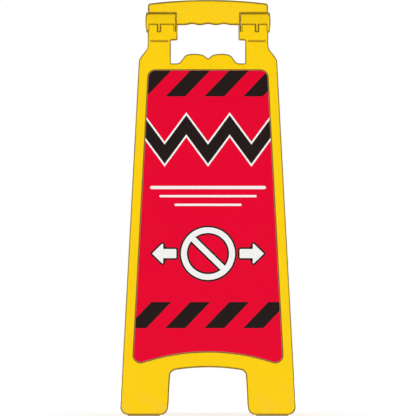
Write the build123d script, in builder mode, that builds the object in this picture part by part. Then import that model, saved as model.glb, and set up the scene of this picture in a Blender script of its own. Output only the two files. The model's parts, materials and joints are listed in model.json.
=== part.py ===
from build123d import *
import os
from math import cos, radians, sin, sqrt, tan

# Folding stand sign: two alike hollow leaves hang on pins from a carrying handle and open as an A-frame.
# Millimetres. Origin on the floor under the handle, X across the sign, Y from front to rear, Z up.
# A drop is measured down a leaf from its hinge axis, a rise up a leaf from its sole.

# Stance
hinge_height = 604.0  # hinge axes above the floor
lean_angle = 13.0  # each leaf from the vertical, opened
leaf_thickness = 15.0
leaf_gap = 1.0  # between the backs of the leaves, folded

# Leaf outline
foot_half_width = 133.5
foot_corner_radius = 12.0
arm_half_width = 91.9
flare_drop = 47.8  # where the arms widen to the shoulders
flare_length = 17.5
flare_width = 13.4
flare_radius = 16.0
leaf_edge_radius = 2.5  # rounding of the leaf's front edges

# Hand window between the arms, with its twin humps
window_drop = 71.7
window_corner_radius = 1.5
hump_height = 13.6  # of their shoulders above the window's sill
hump_foot_half_width = 43.5
hump_flank_width = 9.1
hump_radius = 12.0
hump_crown_rise = 2.0  # above the shoulders, before rounding
hump_crown_radius = 40.0
hump_foot_radius = 9.0
valley_depth = 6.4  # below the shoulders
valley_half_width = 7.1

# Leg opening
leg_inner_half_width = 61.0  # at the sole
opening_crown_rise = 73.8  # of the crown's front edge
opening_corner_radius = 10.6
arch_radius = 305.0  # crown of the opening and lower edge of the sign plate

# Recess for the sign plate
panel_border = 15.0
top_rail_height = 10.3  # between the window and the recess
bottom_rail_height = 24.0  # between the recess and the leg opening
panel_corner_radius = 12.0
recess_edge_radius = 0.8

# Sign plate and the tape that holds it
plate_thickness = 2.0
plate_edge_radius = 0.6
plate_sunk = 0.8  # plate's face below the leaf's face
plate_clearance = 0.7
tape_thickness = 0.8
tape_width = 18.0
tape_length = 110.0
tape_count = 5

# Hollow back of a leaf
wall = 2.6
floor_thickness = 2.4  # behind the sign plate
rib_thickness = 2.0
rib_rows = 6
rib_columns = 3
rib_column_spacing = 56.0

# Foot pads
pad_proud = 1.5
pad_seat_depth = 1.5
pad_side_wall = 2.9  # half of what a pad leaves of the leaf's thickness
pad_setback = 0.9  # behind the leaf's middle, clear of the rounded front edge
pad_corner_radius = 3.0
pad_clearance = 0.1
pad_edge_radius = 0.6

# Hinge block at the top of each arm
block_drop = 35.4
hook_width = 10.3  # of the block past the arm's inner side
lip_width = 3.4  # of the block past the cap's inner end
lip_gap = 1.1  # between the block's inner lip and the grip
groove_offset = 1.6  # moulded line below the block
groove_width = 1.6
groove_depth = 1.3
groove_margin = 4.0

# Hinge caps
cap_inner_half_width = 49.8
cap_clearance = 0.15
cap_nose_radius = 1.5
skirt_drop = 10.0
skirt_thickness = 2.4
seam_gap = 1.2  # shadow gap round the skirt and the tongue
tongue_offset = 3.8  # outwards from the cap's middle
tongue_width = 3.4
tongue_drop = 21.5
ridge_height = 1.6
ridge_depth = 0.8
finger_width = 2.2
finger_depth = 5.0
wing_thickness = 3.4
cheek_depth = 2.0  # how far the wing is let into the arm's outer side
wing_drop = 21.4
wing_top_rise = 2.2  # centre of the wing's round top above the axis
wing_corner_radius = 4.0
wing_crown_radius = 95.0  # bulge of the wing's outer side

# Hinge pins
pin_radius = 3.0
pin_running_clearance = 0.08
pin_fixed_clearance = 0.03
pin_socket_depth = 25.0  # held in the handle
pin_end_gap = 0.6  # short of the cap's wing

# Handle
handle_end_inset = 0.2  # from the arms' outer sides
handle_top_height = 28.4  # crown above the hinge axes
handle_top_radius = 735.0
handle_wall = 2.6
handle_edge_radius = 3.5
handle_corner_radius = 0.6  # inner corners under the overhangs
handle_side_gap = 0.2  # between the grip's ends and the caps
handle_stop_gap = 0.2  # between the handle and the caps, opened
grip_drop = 10.1  # lowest part of the grip below the hinge axes
finger_hollow_depth = 1.8
finger_hollow_width = 8.4
finger_hollow_pitch = 24.3
finger_hollows = 3
handle_seam_chamfer = 0.4

# Handle screws
screw_radius = 1.75
screw_clearance = 0.05
screw_length = 17.0
screw_head_radius = 3.3
screw_head_height = 2.2
screw_boss_radius = 5.2
screw_seat_depth = 5.0  # head's seat behind the mating face
counterbore_clearance = 0.4
cross_slot_length = 4.0
cross_slot_width = 1.1
cross_slot_depth = 1.2
outer_screw_inset = 19.0  # from the handle's ends
inner_screw_half_spacing = 13.0

# Worked out from the sizes above
half_thickness = leaf_thickness / 2
pin_offset = half_thickness + leaf_gap / 2
lean_sin = sin(radians(lean_angle))
lean_cos = cos(radians(lean_angle))
leaf_length = (hinge_height + half_thickness * lean_sin - pad_proud) / lean_cos
cap_length = arm_half_width - cap_inner_half_width
cap_middle = (arm_half_width + cap_inner_half_width) / 2
block_inner_half_width = cap_inner_half_width - lip_width
arm_inner_half_width = block_inner_half_width + hook_width
arm_width = arm_half_width - arm_inner_half_width
arm_middle = (arm_half_width + arm_inner_half_width) / 2
shoulder_half_width = arm_half_width + flare_width
shoulder_drop = flare_drop + flare_length
hump_drop = window_drop - hump_height
hump_outer_half_width = hump_foot_half_width - hump_flank_width
hump_middle = (hump_outer_half_width + valley_half_width) / 2
opening_crown = opening_crown_rise - leaf_length
panel_top_drop = window_drop + top_rail_height
panel_crown = opening_crown + bottom_rail_height
panel_height = -panel_top_drop - panel_crown
panel_middle = (panel_crown - panel_top_drop) / 2
recess_depth = plate_sunk + plate_thickness + tape_thickness
side_slope = (foot_half_width - shoulder_half_width) / (leaf_length - shoulder_drop)
opening_top_half_width = leg_inner_half_width - side_slope * opening_crown_rise
level_rise = leaf_thickness * tan(radians(lean_angle))  # of a level line from a leaf's face to its back
sole_wall = wall + pad_seat_depth + level_rise
foot_core_radius = foot_corner_radius - wall
pad_length = foot_half_width - leg_inner_half_width - 2 * foot_corner_radius
pad_depth = leaf_thickness - 2 * pad_side_wall
pad_spacing = foot_half_width + leg_inner_half_width
block_corner_radius = 1.2 * leaf_edge_radius  # wide enough for the rounding that runs round it
lip_drop = grip_drop + lip_gap
tongue_middle = cap_middle + tongue_offset
wing_edge_radius = 0.65 * wing_thickness
cheek_seat_half_width = arm_half_width - cheek_depth
cheek_seat_drop = wing_drop + cap_clearance
bore_radius = pin_radius + pin_running_clearance
pin_outer_end = cheek_seat_half_width - pin_end_gap
handle_half_length = arm_half_width - handle_end_inset
handle_half_depth = pin_offset + half_thickness  # flush with the leaves, folded
handle_underside = half_thickness + handle_stop_gap
handle_end_radius = 1.3 * handle_edge_radius  # wide enough for the rounding that runs round it
grip_half_length = cap_inner_half_width - handle_side_gap
finger_lobe_width = finger_hollow_pitch - finger_hollow_width
finger_lobe_depth = finger_hollow_depth * finger_lobe_width / finger_hollow_pitch
grip_middle = finger_lobe_depth - grip_drop  # where lobes and hollows meet
leaf_names = {-1: "front", 1: "rear"}  # by the way the leaf faces along Y
cut_margin = 1.0  # how far a cut runs past the face it opens


def leaf_plane(facing):
    """Mid plane of an opened leaf: origin on its hinge axis, y up the leaf, z out of its face."""
    return Plane(
        origin=(0, facing * pin_offset, hinge_height),
        x_dir=(-facing, 0, 0),
        z_dir=(0, facing * lean_cos, lean_sin),
    )


def section_plane(leaf, x):
    """Plane across a leaf at a distance from its middle: sketch x runs up the leaf and y out of its face."""
    return Plane(origin=leaf.from_local_coords((x, 0, 0)), x_dir=leaf.y_dir, z_dir=leaf.x_dir)


def sole_plane(facing):
    """Floor under the middle of a leaf's sole, with y towards the other leaf."""
    middle_drop = (hinge_height - pad_proud) / lean_cos
    reach = pin_offset + middle_drop * lean_sin
    return Plane(origin=(0, facing * reach, 0), x_dir=(-facing, 0, 0), z_dir=(0, 0, 1))


def handle_plane(facing):
    """Mating plane of the handle shells at the height of the hinge axes, with z out of one shell's face."""
    return Plane(origin=(0, 0, hinge_height), x_dir=(-facing, 0, 0), z_dir=(0, facing, 0))


def side_name(facing, side):
    """Left or right as seen from the front, for a side of a leaf in its own plane."""
    return "right" if -facing * side > 0 else "left"


def side_half_width(drop):
    """Half width of a leaf between its shoulder and its sole."""
    return shoulder_half_width + side_slope * (drop - shoulder_drop)


def handle_top_rise(x):
    """Height of the handle's arched top above the hinge axes."""
    return handle_top_height - handle_top_radius + sqrt(handle_top_radius**2 - x**2)


# Leaf outline


def leaf_outline():
    """Outline of a leaf, without its leg opening and the rounding of its feet and front edges."""
    half = [
        (valley_half_width, -hump_drop),
        (hump_middle, hump_crown_rise - hump_drop),
        (hump_outer_half_width, -hump_drop),
        (hump_foot_half_width, -window_drop),
        (arm_inner_half_width, -window_drop),
        (arm_inner_half_width, -block_drop),
        (block_inner_half_width, -block_drop),
        (block_inner_half_width, -lip_drop),
        (cap_inner_half_width, -lip_drop),
        (cap_inner_half_width, 0),
        (cheek_seat_half_width, 0),
        (cheek_seat_half_width, -cheek_seat_drop),
        (arm_half_width, -cheek_seat_drop),
        (arm_half_width, -flare_drop),
        (shoulder_half_width, -shoulder_drop),
        (foot_half_width, -leaf_length),
    ]
    half_radii = [
        hump_radius,
        hump_crown_radius,
        hump_radius,
        hump_foot_radius,
        window_corner_radius,
        window_corner_radius,
        block_corner_radius,
        0,
        0,
        0,
        0,
        0,
        0,
        flare_radius,
        flare_radius,
        0,
    ]
    mirrored = [(-x, y) for x, y in reversed(half)]
    radii = [window_corner_radius] + half_radii + half_radii[::-1]
    with BuildSketch() as outline:
        with BuildLine():
            FilletPolyline([(0, -hump_drop - valley_depth)] + half + mirrored, radius=radii, close=True)
        make_face()
    return outline.sketch


def opening_outline(grow):
    """Outline of the opening between the legs, grown by a distance on every side."""
    with BuildSketch() as opening:
        with BuildLine():
            Polyline(
                (-leg_inner_half_width, -leaf_length),
                (-opening_top_half_width, opening_crown),
                (opening_top_half_width, opening_crown),
                (leg_inner_half_width, -leaf_length),
                close=True,
            )
        make_face()
        with Locations((0, opening_crown - arch_radius)):
            Circle(arch_radius, mode=Mode.INTERSECT)
        fillet(opening.vertices().sort_by(Axis.Y)[2:], opening_corner_radius)
        if grow:
            offset(amount=grow)
    return opening.sketch


def panel_outline(grow):
    """Outline of the recess for the sign plate, grown by a distance on every side."""
    top_half = side_half_width(panel_top_drop) - panel_border
    low_half = side_half_width(leaf_length) - panel_border
    with BuildSketch() as outline:
        with BuildLine():
            Polyline(
                (-top_half, -panel_top_drop),
                (top_half, -panel_top_drop),
                (low_half, -leaf_length),
                (-low_half, -leaf_length),
                close=True,
            )
        make_face()
        with Locations((0, panel_crown - arch_radius)):
            Circle(arch_radius, mode=Mode.SUBTRACT)
        fillet(outline.vertices(), panel_corner_radius)
        if grow:
            offset(amount=grow)
    return outline.sketch


def rib_bars():
    """Rows and columns of ribs on the back of a leaf."""
    with BuildSketch() as bars:
        with Locations((0, panel_middle)):
            with GridLocations(0, panel_height / (rib_rows + 1), 1, rib_rows):
                Rectangle(2 * foot_half_width, rib_thickness)
        with Locations((0, -leaf_length / 2)):
            with GridLocations(rib_column_spacing, 0, rib_columns, 1):
                Rectangle(rib_thickness, leaf_length)
    return bars.sketch


outline_face = leaf_outline()
opening_face = opening_outline(0)
opening_wall_face = opening_outline(wall)
recess_face = panel_outline(0)
recess_wall_face = panel_outline(wall)
plate_face = panel_outline(-plate_clearance)
rib_face = rib_bars()


# Leaf


def make_frame(facing):
    """Moulded leaf: a rounded face with a recess in front, and walls and ribs behind."""
    leaf = leaf_plane(facing)
    back = leaf.offset(-half_thickness)
    front = leaf.offset(half_thickness)
    backwards = (0, -facing, 0)
    seat_depth = skirt_thickness + cap_clearance
    seat_drop = skirt_drop + seam_gap
    slot_inner = cap_inner_half_width - seam_gap
    slot_outer = cap_inner_half_width + finger_width + cap_clearance
    slot_drop = tongue_drop + cap_clearance

    def below_cap(edge):
        """Whether an edge of the face lies below the lip or the seat of a cheek."""
        middle = leaf.to_local_coords(edge.center())
        cap_foot = cheek_seat_drop if abs(middle.X) > cap_middle else lip_drop
        return middle.Y < -cap_foot - cut_margin

    def beside_rib(corner):
        """Whether a corner of a core lies against the rib down a leg."""
        return abs(abs(corner.X) - pad_spacing / 2) < rib_thickness

    with BuildPart() as frame:
        with BuildSketch(back):
            add(outline_face)
        extrude(amount=leaf_thickness)
        # Leg opening, level under its crown when the leaf is opened
        with BuildSketch(front):
            add(opening_face)
        extrude(amount=2 * leaf_thickness, dir=backwards, mode=Mode.SUBTRACT)
        # Level soles with rounded corners
        split(bisect_by=Plane.XY.offset(pad_proud), keep=Keep.TOP)
        sole_edges = frame.faces().group_by(Axis.Z)[0].edges()
        fillet(sole_edges.filter_by(Axis.X, reverse=True), foot_corner_radius)
        # Rounded front edges
        front_edges = frame.faces().sort_by(Axis(leaf.origin, leaf.z_dir))[-1].outer_wire().edges()
        fillet(front_edges.filter_by(below_cap), leaf_edge_radius)
        # Undersides of the hinge blocks, level behind their rounded edges
        with BuildSketch(front.offset(-leaf_edge_radius)):
            with Locations((0, block_corner_radius / 2 - level_rise - block_drop)):
                with GridLocations(2 * arm_inner_half_width - hook_width - cut_margin, 0, 2, 1):
                    Rectangle(hook_width + cut_margin, block_corner_radius + 2 * level_rise)
            add(outline_face, mode=Mode.SUBTRACT)
        extrude(amount=leaf_thickness, dir=backwards, mode=Mode.SUBTRACT)
        # Recess for the sign plate
        with BuildSketch(front):
            add(recess_face)
        extrude(amount=-recess_depth, mode=Mode.SUBTRACT)
        recess_rim = frame.faces().sort_by(Axis(leaf.origin, leaf.z_dir))[-1].inner_wires()[0].edges()
        fillet(recess_rim, recess_edge_radius)
        # Back of the panel, cored between the ribs
        with BuildSketch(back):
            add(recess_face)
            add(rib_face, mode=Mode.SUBTRACT)
        extrude(amount=leaf_thickness - recess_depth - floor_thickness, mode=Mode.SUBTRACT)
        # Border, arms and legs, cored below the hinge blocks, with a rib down each leg and rounded feet
        with BuildSketch(back) as cores:
            add(outline_face)
            offset(amount=-wall)
            with Locations((0, level_rise)):
                add(opening_wall_face, mode=Mode.SUBTRACT)
            add(recess_wall_face, mode=Mode.SUBTRACT)
            add(rib_face, mode=Mode.SUBTRACT)
            with Locations((0, -block_drop / 2)):
                Rectangle(2 * foot_half_width, block_drop, mode=Mode.SUBTRACT)
            with Locations((0, (panel_crown - leaf_length) / 2)):
                with GridLocations(pad_spacing, 0, 2, 1):
                    Rectangle(rib_thickness, panel_crown + leaf_length, mode=Mode.SUBTRACT)
            with Locations((0, sole_wall / 2 - leaf_length)):
                Rectangle(2 * foot_half_width, sole_wall, mode=Mode.SUBTRACT)
            core_feet = cores.vertices().group_by(Axis.Y)[0]
            fillet(core_feet.filter_by(beside_rib, reverse=True), foot_core_radius)
        extrude(amount=leaf_thickness - wall, mode=Mode.SUBTRACT)
        # Saddles for the pins and seats for the caps, at both arms
        for side in (-1, 1):
            with BuildSketch(section_plane(leaf, side * (cap_inner_half_width - cut_margin))):
                Circle(bore_radius)
            extrude(amount=side * (cap_length + 2 * cut_margin), mode=Mode.SUBTRACT)
            with BuildSketch(front):
                with Locations((side * (cap_middle + cut_margin / 2), -seat_drop / 2)):
                    Rectangle(cap_length + cut_margin, seat_drop)
            extrude(amount=-seat_depth, mode=Mode.SUBTRACT)
            with BuildSketch(front):
                with Locations((side * tongue_middle, -(tongue_drop + seam_gap) / 2)):
                    Rectangle(tongue_width + 2 * seam_gap, tongue_drop + seam_gap)
            extrude(amount=-seat_depth, mode=Mode.SUBTRACT)
            with BuildSketch(front.offset(-seat_depth)):
                with Locations((side * tongue_middle, ridge_height / 2 - tongue_drop)):
                    Rectangle(tongue_width + 2 * cap_clearance, ridge_height + 2 * cap_clearance)
            extrude(amount=-ridge_depth, mode=Mode.SUBTRACT)
            with BuildSketch(front):
                with Locations((side * (slot_inner + slot_outer) / 2, -slot_drop / 2)):
                    Rectangle(slot_outer - slot_inner, slot_drop)
            extrude(amount=-finger_depth - cap_clearance, mode=Mode.SUBTRACT)
            with BuildSketch(leaf):
                with Locations((side * cap_middle, cut_margin)):
                    Rectangle(2 * cap_length, 2 * (cut_margin + cap_clearance))
            extrude(amount=leaf_thickness, both=True, mode=Mode.SUBTRACT)
            # Moulded line under the block
            with BuildSketch(front):
                with Locations((side * arm_middle, -block_drop - groove_offset)):
                    SlotOverall(arm_width - 2 * groove_margin, groove_width)
            extrude(amount=-groove_depth, mode=Mode.SUBTRACT)
        # Seat for a pad in each sole
        with BuildSketch(sole_plane(facing).offset(pad_proud)):
            with Locations((0, pad_setback)):
                with GridLocations(pad_spacing, 0, 2, 1):
                    RectangleRounded(
                        pad_length + 2 * pad_clearance,
                        pad_depth + 2 * pad_clearance,
                        pad_corner_radius + pad_clearance,
                    )
        extrude(amount=pad_seat_depth, mode=Mode.SUBTRACT)
    return frame.part


def make_sign_plate(facing):
    """Flat board that fills the recess and carries the printed sign."""
    leaf = leaf_plane(facing)
    with BuildPart() as plate:
        with BuildSketch(leaf.offset(half_thickness - plate_sunk - plate_thickness)):
            add(plate_face)
        extrude(amount=plate_thickness)
        printed_face = plate.faces().sort_by(Axis(leaf.origin, leaf.z_dir))[-1]
        fillet(printed_face.edges(), plate_edge_radius)
    return plate.part


def make_plate_tape(facing):
    """Double-sided tape strips between the board and the floor of the recess."""
    leaf = leaf_plane(facing)
    with BuildPart() as tape:
        with BuildSketch(leaf.offset(half_thickness - recess_depth)):
            with Locations((0, panel_middle)):
                with GridLocations(0, panel_height / tape_count, 1, tape_count):
                    Rectangle(tape_length, tape_width)
        extrude(amount=tape_thickness)
    return tape.part


def make_foot_pad(facing, side):
    """Rubber pad let into the sole of one foot."""
    ground = sole_plane(facing)
    with BuildPart() as pad:
        with BuildSketch(ground):
            with Locations((side * pad_spacing / 2, pad_setback)):
                RectangleRounded(pad_length, pad_depth, pad_corner_radius)
        extrude(amount=pad_proud + pad_seat_depth)
        fillet(pad.faces().sort_by(Axis.Z)[0].edges(), pad_edge_radius)
    return pad.part


def make_cap_wing(leaf, side):
    """Bulging wing that closes the outer end of a hinge cap, with a cheek let into the arm's side."""
    inner_face = arm_half_width + cap_clearance
    crown_middle = inner_face + wing_thickness - wing_crown_radius
    with BuildPart(mode=Mode.PRIVATE) as wing:
        with BuildSketch(section_plane(leaf, side * inner_face)) as section:
            with Locations((wing_top_rise, 0)):
                Circle(half_thickness)
            with Locations(((wing_top_rise - wing_drop) / 2, 0)):
                Rectangle(wing_top_rise + wing_drop, leaf_thickness)
            fillet(section.vertices().sort_by(Axis.X)[:2], wing_corner_radius)
        extrude(amount=side * wing_thickness)
        with BuildSketch(leaf):
            with Locations((side * crown_middle, (half_thickness + wing_top_rise - wing_drop) / 2)):
                Circle(wing_crown_radius)
        extrude(amount=leaf_thickness, both=True, mode=Mode.INTERSECT)
        outer_end = wing.faces().sort_by(Axis(leaf.origin, side * leaf.x_dir))[-1]
        fillet(outer_end.edges(), wing_edge_radius)
        with BuildSketch(section_plane(leaf, side * inner_face)):
            with Locations((-wing_drop / 2, 0)):
                Rectangle(wing_drop, leaf_thickness)
        extrude(amount=-side * (cheek_depth + cap_clearance))
    return wing.part


def make_hinge_cap(facing, side):
    """Snap-on cap that shuts the pin into one arm's saddle, with a tongue, a finger and a bulging wing."""
    leaf = leaf_plane(facing)
    front = leaf.offset(half_thickness)
    top_angle = radians(90 + lean_angle)
    middle_angle = top_angle / 2
    nose_rise = (half_thickness - half_thickness * lean_sin) / lean_cos
    with BuildPart() as cap:
        # Upper half of the barrel with the front skirt, flat-topped where it stops against the handle
        with BuildSketch(section_plane(leaf, side * cap_inner_half_width)) as section:
            with BuildLine():
                barrel = ThreePointArc(
                    (0, -half_thickness),
                    (half_thickness * sin(middle_angle), -half_thickness * cos(middle_angle)),
                    (half_thickness * sin(top_angle), -half_thickness * cos(top_angle)),
                )
                Polyline(
                    barrel @ 1,
                    (nose_rise, half_thickness),
                    (-skirt_drop, half_thickness),
                    (-skirt_drop, half_thickness - skirt_thickness),
                    (0, half_thickness - skirt_thickness),
                    barrel @ 0,
                )
            make_face()
            fillet(section.vertices().group_by(Axis.Y)[-1].sort_by(Axis.X)[-1], cap_nose_radius)
            Circle(bore_radius, mode=Mode.SUBTRACT)
        extrude(amount=side * (cap_length + cap_clearance))
        # Snap tongue with its ridge
        with BuildSketch(front):
            with Locations((side * tongue_middle, -(skirt_drop + tongue_drop) / 2)):
                Rectangle(tongue_width, tongue_drop - skirt_drop)
        extrude(amount=-skirt_thickness)
        with BuildSketch(front.offset(-skirt_thickness)):
            with Locations((side * tongue_middle, ridge_height / 2 - tongue_drop)):
                Rectangle(tongue_width, ridge_height)
        extrude(amount=-ridge_depth)
        # Finger along the inner end
        finger_middle = cap_inner_half_width + finger_width / 2
        with BuildSketch(front):
            with Locations((side * finger_middle, -(skirt_drop + tongue_drop) / 2)):
                Rectangle(finger_width, tongue_drop - skirt_drop)
        extrude(amount=-finger_depth)
        add(make_cap_wing(leaf, side))
    return cap.part


# Handle


def handle_outline():
    """Front outline of the handle: an arched top, overhanging ends and finger hollows under the grip."""
    end_rise = handle_top_rise(handle_half_length)
    hollow_rise = finger_hollow_depth - grip_drop
    first_hollow = -finger_hollow_pitch * (finger_hollows - 1) / 2
    run_end = first_hollow - finger_hollow_pitch / 2
    with BuildSketch() as outline:
        with BuildLine():
            ThreePointArc(
                (handle_half_length, end_rise),
                (0, handle_top_height),
                (-handle_half_length, end_rise),
            )
            Polyline(
                (-handle_half_length, end_rise),
                (-handle_half_length, handle_underside),
                (-grip_half_length, handle_underside),
                (-grip_half_length, -grip_drop),
                (run_end, -grip_drop),
            )
            for hollow in range(finger_hollows):
                middle = first_hollow + finger_hollow_pitch * hollow
                start = (middle - finger_hollow_width / 2, grip_middle)
                end = (middle + finger_hollow_width / 2, grip_middle)
                TangentArc((middle - finger_hollow_pitch / 2, -grip_drop), start, tangent=(1, 0))
                crest = ThreePointArc(start, (middle, hollow_rise), end)
                TangentArc(end, (middle + finger_hollow_pitch / 2, -grip_drop), tangent=crest % 1)
            Polyline(
                (-run_end, -grip_drop),
                (grip_half_length, -grip_drop),
                (grip_half_length, handle_underside),
                (handle_half_length, handle_underside),
                (handle_half_length, end_rise),
            )
        make_face()
        by_width = outline.vertices().group_by(Axis.X)
        end_corners = by_width[0].sort_by(Axis.Y)[-1:] + by_width[-1].sort_by(Axis.Y)[-1:]
        inner_corners = by_width[1].sort_by(Axis.Y)[-1:] + by_width[-2].sort_by(Axis.Y)[-1:]
        fillet(end_corners, handle_end_radius)
        fillet(inner_corners, handle_corner_radius)
    return outline.sketch


handle_face = handle_outline()
outer_screw_x = handle_half_length - outer_screw_inset
outer_screw_rise = (handle_underside + handle_top_rise(outer_screw_x)) / 2
inner_screw_rise = (grip_middle + handle_top_rise(inner_screw_half_spacing)) / 2
screw_points = [
    (-outer_screw_x, outer_screw_rise),
    (-inner_screw_half_spacing, inner_screw_rise),
    (inner_screw_half_spacing, inner_screw_rise),
    (outer_screw_x, outer_screw_rise),
]


def make_handle_shell(facing):
    """One half of the handle: a hollow shell with two pin sockets and four bosses for screws."""
    seam = handle_plane(facing)
    with BuildPart() as shell:
        with BuildSketch(seam):
            add(handle_face)
        extrude(amount=handle_half_depth)
        outer_face = shell.faces().sort_by(Axis(seam.origin, seam.z_dir))[-1]
        fillet(outer_face.edges(), handle_edge_radius)
        mating_face = shell.faces().sort_by(Axis(seam.origin, seam.z_dir))[0]
        chamfer(mating_face.edges(), handle_seam_chamfer)
        with BuildSketch(seam):
            add(handle_face)
            offset(amount=-handle_wall)
        extrude(amount=handle_half_depth - handle_wall, mode=Mode.SUBTRACT)
        # Screw bosses
        with BuildSketch(seam):
            with Locations(*screw_points):
                Circle(screw_boss_radius)
        extrude(amount=handle_half_depth - handle_wall)
        # Pin sockets in blocks behind the ends of the grip
        block_end = grip_half_length - pin_socket_depth - handle_wall
        block_root = grip_half_length - handle_wall / 2
        block_top = pin_radius + handle_wall
        block_foot = finger_hollow_depth - grip_drop + handle_wall / 6
        with BuildSketch(seam):
            with Locations((0, (block_top + block_foot) / 2)):
                with GridLocations(block_root + block_end, 0, 2, 1):
                    Rectangle(block_root - block_end, block_top - block_foot)
        extrude(amount=handle_half_depth - handle_wall)
        for side in (-1, 1):
            with BuildSketch(section_plane(seam.offset(pin_offset), side * grip_half_length)):
                Circle(pin_radius + pin_fixed_clearance)
            extrude(amount=-side * pin_socket_depth, mode=Mode.SUBTRACT)
        # Screw holes
        screw_reach = screw_length - screw_seat_depth if facing < 0 else screw_seat_depth
        with BuildSketch(seam):
            with Locations(*screw_points):
                Circle(screw_radius + screw_clearance)
        extrude(amount=screw_reach, mode=Mode.SUBTRACT)
        if facing > 0:
            with BuildSketch(seam.offset(screw_seat_depth)):
                with Locations(*screw_points):
                    Circle(screw_head_radius + counterbore_clearance)
            extrude(amount=handle_half_depth, mode=Mode.SUBTRACT)
    return shell.part


def make_handle_screws():
    """Four cross-head screws that hold the handle shells together."""
    seat = handle_plane(1).offset(screw_seat_depth)
    with BuildPart() as screws:
        with BuildSketch(seat):
            with Locations(*screw_points):
                Circle(screw_head_radius)
        extrude(amount=screw_head_height)
        with BuildSketch(seat):
            with Locations(*screw_points):
                Circle(screw_radius)
        extrude(amount=-screw_length)
        with BuildSketch(seat.offset(screw_head_height)):
            with Locations(*screw_points):
                Rectangle(cross_slot_length, cross_slot_width)
                Rectangle(cross_slot_width, cross_slot_length)
        extrude(amount=-cross_slot_depth, mode=Mode.SUBTRACT)
    return screws.part


def make_hinge_pin(facing, side):
    """Steel pin held in the handle, on which one arm of a leaf turns."""
    leaf = leaf_plane(facing)
    inner_end = grip_half_length - pin_socket_depth
    with BuildPart() as pin:
        with BuildSketch(section_plane(leaf, side * inner_end)):
            Circle(pin_radius)
        extrude(amount=side * (pin_outer_end - inner_end))
        chamfer(pin.edges().filter_by(GeomType.CIRCLE), pin_radius / 6)
    return pin.part


# Every piece under its name
pieces = {
    "handle_front_shell": make_handle_shell(-1),
    "handle_rear_shell": make_handle_shell(1),
    "handle_screws": make_handle_screws(),
}
for facing, leaf_name in leaf_names.items():
    pieces[f"{leaf_name}_frame"] = make_frame(facing)
    pieces[f"{leaf_name}_sign_plate"] = make_sign_plate(facing)
    pieces[f"{leaf_name}_plate_tape"] = make_plate_tape(facing)
    for side in (-1, 1):
        corner = f"{leaf_name}_{side_name(facing, side)}"
        pieces[f"{corner}_hinge_pin"] = make_hinge_pin(facing, side)
        pieces[f"{corner}_hinge_cap"] = make_hinge_cap(facing, side)
        pieces[f"{corner}_foot_pad"] = make_foot_pad(facing, side)

os.makedirs("parts", exist_ok=True)
for name, part in pieces.items():
    part.label = name
    export_step(part, f"parts/{name}.step")
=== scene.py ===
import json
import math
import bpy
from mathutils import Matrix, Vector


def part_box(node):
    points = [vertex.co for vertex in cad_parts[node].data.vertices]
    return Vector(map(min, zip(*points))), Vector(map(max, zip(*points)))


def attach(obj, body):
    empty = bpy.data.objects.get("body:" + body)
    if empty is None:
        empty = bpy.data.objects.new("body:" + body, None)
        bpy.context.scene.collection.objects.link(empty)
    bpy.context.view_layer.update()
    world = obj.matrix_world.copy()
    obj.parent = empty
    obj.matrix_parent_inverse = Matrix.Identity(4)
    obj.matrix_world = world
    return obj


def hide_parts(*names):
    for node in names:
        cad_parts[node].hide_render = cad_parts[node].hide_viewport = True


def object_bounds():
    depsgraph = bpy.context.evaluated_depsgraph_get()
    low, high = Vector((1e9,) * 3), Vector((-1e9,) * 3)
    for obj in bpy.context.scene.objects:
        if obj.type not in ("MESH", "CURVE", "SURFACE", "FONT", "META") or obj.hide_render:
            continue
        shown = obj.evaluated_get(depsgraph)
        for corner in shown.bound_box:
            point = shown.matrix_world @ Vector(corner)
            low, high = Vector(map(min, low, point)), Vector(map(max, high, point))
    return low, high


bl_info = {
    "name": "Stand Sign Finishes",
    "version": (1, 0, 0),
    "blender": (4, 5, 0),
    "location": "View3D > Sidebar > Stand Sign",
    "description": "Plastics, printed boards, rubber soles and studio stage of a folding stand sign",
    "category": "Object",
}

import bmesh
import bpy
from bpy.props import FloatProperty, FloatVectorProperty, IntProperty, PointerProperty
from bpy.types import Operator, Panel, PropertyGroup
from mathutils import Matrix, Vector

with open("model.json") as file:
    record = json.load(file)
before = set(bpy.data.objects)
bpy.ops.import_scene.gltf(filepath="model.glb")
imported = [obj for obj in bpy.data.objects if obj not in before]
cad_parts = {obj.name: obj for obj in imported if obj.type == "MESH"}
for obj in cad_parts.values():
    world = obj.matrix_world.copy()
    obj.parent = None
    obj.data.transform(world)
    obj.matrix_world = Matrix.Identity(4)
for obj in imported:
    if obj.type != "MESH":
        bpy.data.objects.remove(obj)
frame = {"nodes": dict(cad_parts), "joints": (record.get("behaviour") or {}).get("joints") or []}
cad_low, cad_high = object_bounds()

LEAVES = ("front", "rear")
SIDES = ("left", "right")
MILLIMETRE = 0.001
WELD = 0.001 * MILLIMETRE  # points closer than this are one
FLATNESS = 0.01 * MILLIMETRE  # how far a flat face may waver
CIRCLE_STEPS = 96  # sides of a full circle
END_STEPS = 10  # sides of the round end of a bar
CUTTER_SHARE = 4  # depth of a cutter round a leaf's middle, by the height of the board's face
RULES = ((1.0, 1.0), (0.84, 0.7), (0.58, 0.7))  # ruled lines: length and thickness as shares of the first
NOISE_SPREAD = (0.3, 0.7)  # where most values of a noise pattern lie
EDGE_REACH = 2.0  # millimetres round an edge over which its painted shade is spread
RIM_REACH = 0.1  # millimetres round the edge of a board
GAP_REACH = 4.0  # millimetres across which two mouldings make a gap
BOARD_GAP_REACH = 2.0  # millimetres across which a board and its recess make a gap
GAP_SHADE = 0.42  # share of painted shade in a gap
DUST_HEIGHT = 70 * MILLIMETRE  # of the dust on the feet


def linear(red, green, blue):
    """Colour written in the 0 to 255 steps of a screen, as the linear values that shaders take."""
    return tuple(
        (step / 255 / 12.92) if step / 255 <= 0.04045 else ((step / 255 + 0.055) / 1.055) ** 2.4
        for step in (red, green, blue)
    )


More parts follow.
